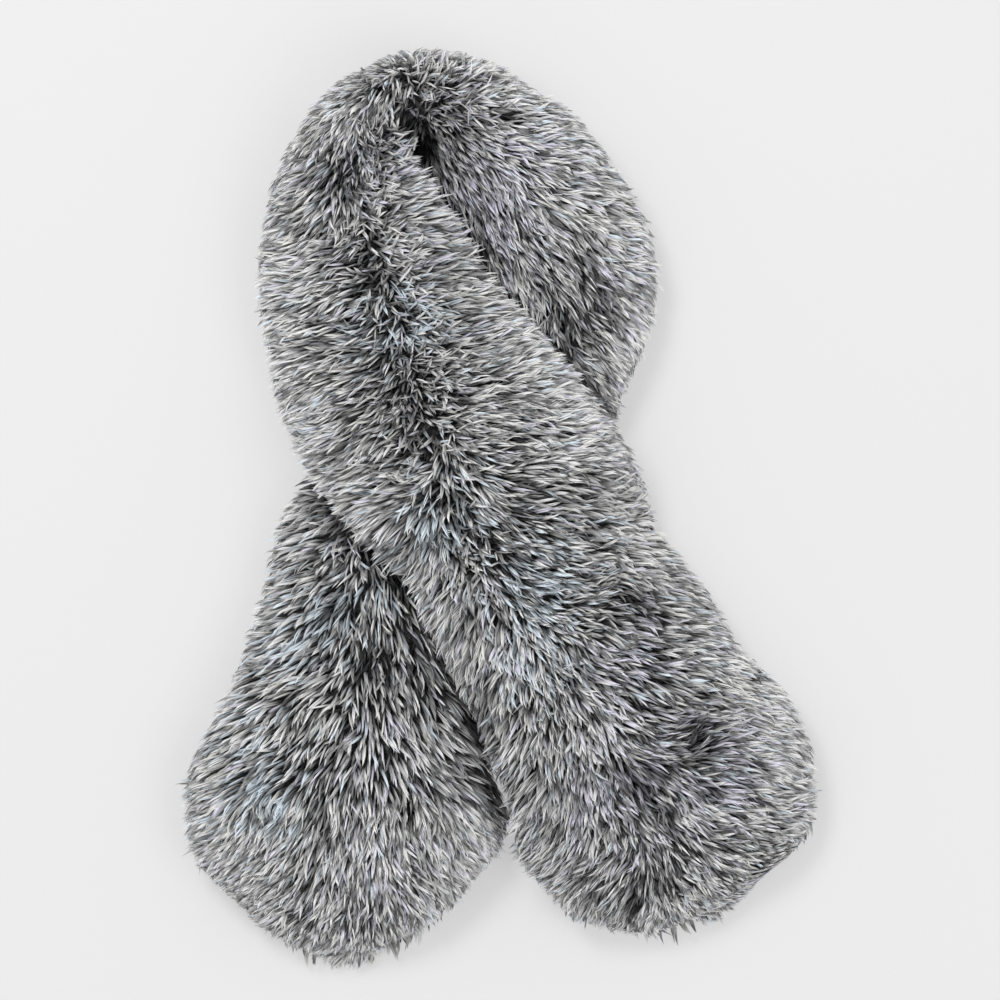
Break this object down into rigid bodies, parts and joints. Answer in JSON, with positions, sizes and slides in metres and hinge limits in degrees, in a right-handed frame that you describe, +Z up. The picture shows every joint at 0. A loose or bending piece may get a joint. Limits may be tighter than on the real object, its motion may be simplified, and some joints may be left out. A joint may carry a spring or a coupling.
{
  "type": "fur collar wrap",
  "caption": "Long-pile grey fur collar scarf, a double-faced strip laid flat in a closed neck loop with its two broad tails crossed",
  "frame": {"origin": "middle of the footprint, on the surface the wrap rests on", "axes": "+Y from the tails to the neck turn, +Z up out of the surface, +X to the viewer's right seen from above"},
  "size_m": [0.3268, 0.4705, 0.0667],
  "materials": {
    "fur_pile": "long grey pile with dark roots and silver tips, soft sheen",
    "fur_backing": "matte knitted backing in charcoal grey"
  },
  "bodies": {
    "root": {"over_face_pile": "fur_pile", "over_face_backing": "fur_backing", "over_back_pile": "fur_pile", "over_back_backing": "fur_backing", "neck_face_pile": "fur_pile", "neck_face_backing": "fur_backing", "neck_back_pile": "fur_pile", "neck_back_backing": "fur_backing", "under_face_pile": "fur_pile", "under_face_backing": "fur_backing", "under_back_pile": "fur_pile", "under_back_backing": "fur_backing"}
  },
  "joints": []
}
